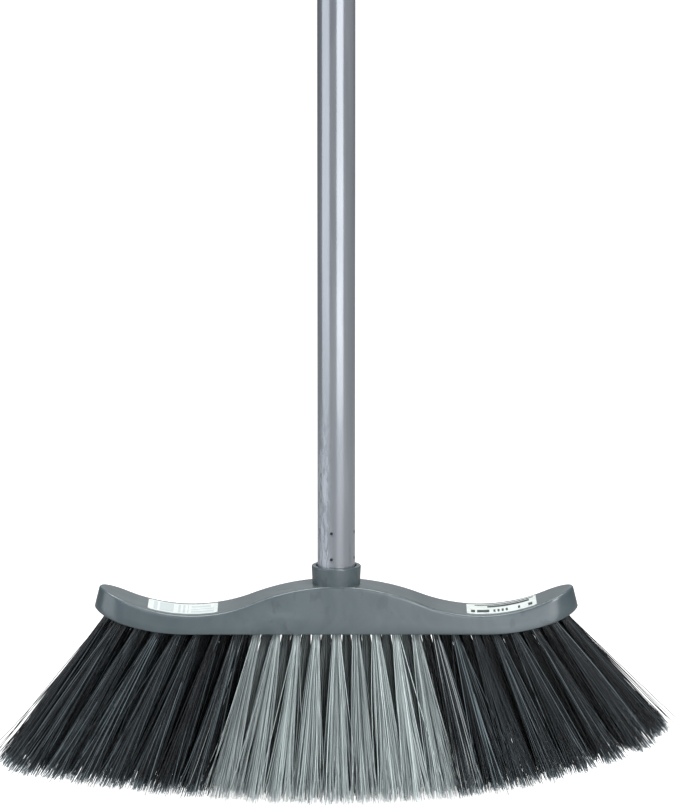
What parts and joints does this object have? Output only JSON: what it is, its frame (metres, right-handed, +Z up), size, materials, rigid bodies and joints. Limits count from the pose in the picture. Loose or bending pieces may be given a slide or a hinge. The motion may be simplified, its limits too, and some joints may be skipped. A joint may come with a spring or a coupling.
{
  "type": "upright broom",
  "caption": "Upright floor broom: a gull-wing plastic head with fanned bristle tufts, on a steel tube handle that screws in.",
  "frame": {"origin": "on the handle's axis, level with the lowest bristle tips", "axes": "+Z up the handle's axis, +X along the head to the viewer's right, front towards -Y"},
  "size_m": [0.3786, 0.0666, 1.4027],
  "materials": {
    "head_plastic": "moulded, satin, blue-grey",
    "label_paper": "semi-gloss printed paper",
    "black_bristle": "drawn filament, glossy black",
    "grey_bristle": "drawn filament, light grey",
    "staple_steel": "drawn flat wire",
    "tube_lacquer": "silver-grey lacquer under thin film",
    "fitting_plastic": "moulded, dark grey",
    "pin_steel": "zinc plated"
  },
  "bodies": {
    "head": {"head_block": "head_plastic", "left_label": "label_paper", "right_label": "label_paper", "front_tufts_left": "black_bristle", "front_tufts_middle": "grey_bristle", "front_tufts_right": "black_bristle", "inner_front_tufts_left": "black_bristle", "inner_front_tufts_middle": "grey_bristle", "inner_front_tufts_right": "black_bristle", "inner_rear_tufts_left": "black_bristle", "inner_rear_tufts_middle": "grey_bristle", "inner_rear_tufts_right": "black_bristle", "rear_tufts_left": "black_bristle", "rear_tufts_middle": "grey_bristle", "rear_tufts_right": "black_bristle", "front_staples": "staple_steel", "inner_front_staples": "staple_steel", "inner_rear_staples": "staple_steel", "rear_staples": "staple_steel"},
    "cap": {"hang_cap": "fitting_plastic", "swivel_pin": "pin_steel"},
    "handle": {"handle_tube": "tube_lacquer", "threaded_tip": "fitting_plastic", "top_plug": "fitting_plastic"}
  },
  "joints": [
    {"name": "handle_advance", "type": "slide", "parent": "head", "child": "cap", "axis": [0, 0, 1], "range_m": [0, 0.02032]},
    {"name": "handle_unscrew", "type": "hinge", "parent": "cap", "child": "handle", "pos_m": [0, 0, 0.14], "axis": [0, 0, 1], "range_deg": [0, 1440]}
  ],
  "couplings": [
    {"joint": "handle_advance", "follows": "handle_unscrew", "m_per_rad": 0.00080851}
  ]
}
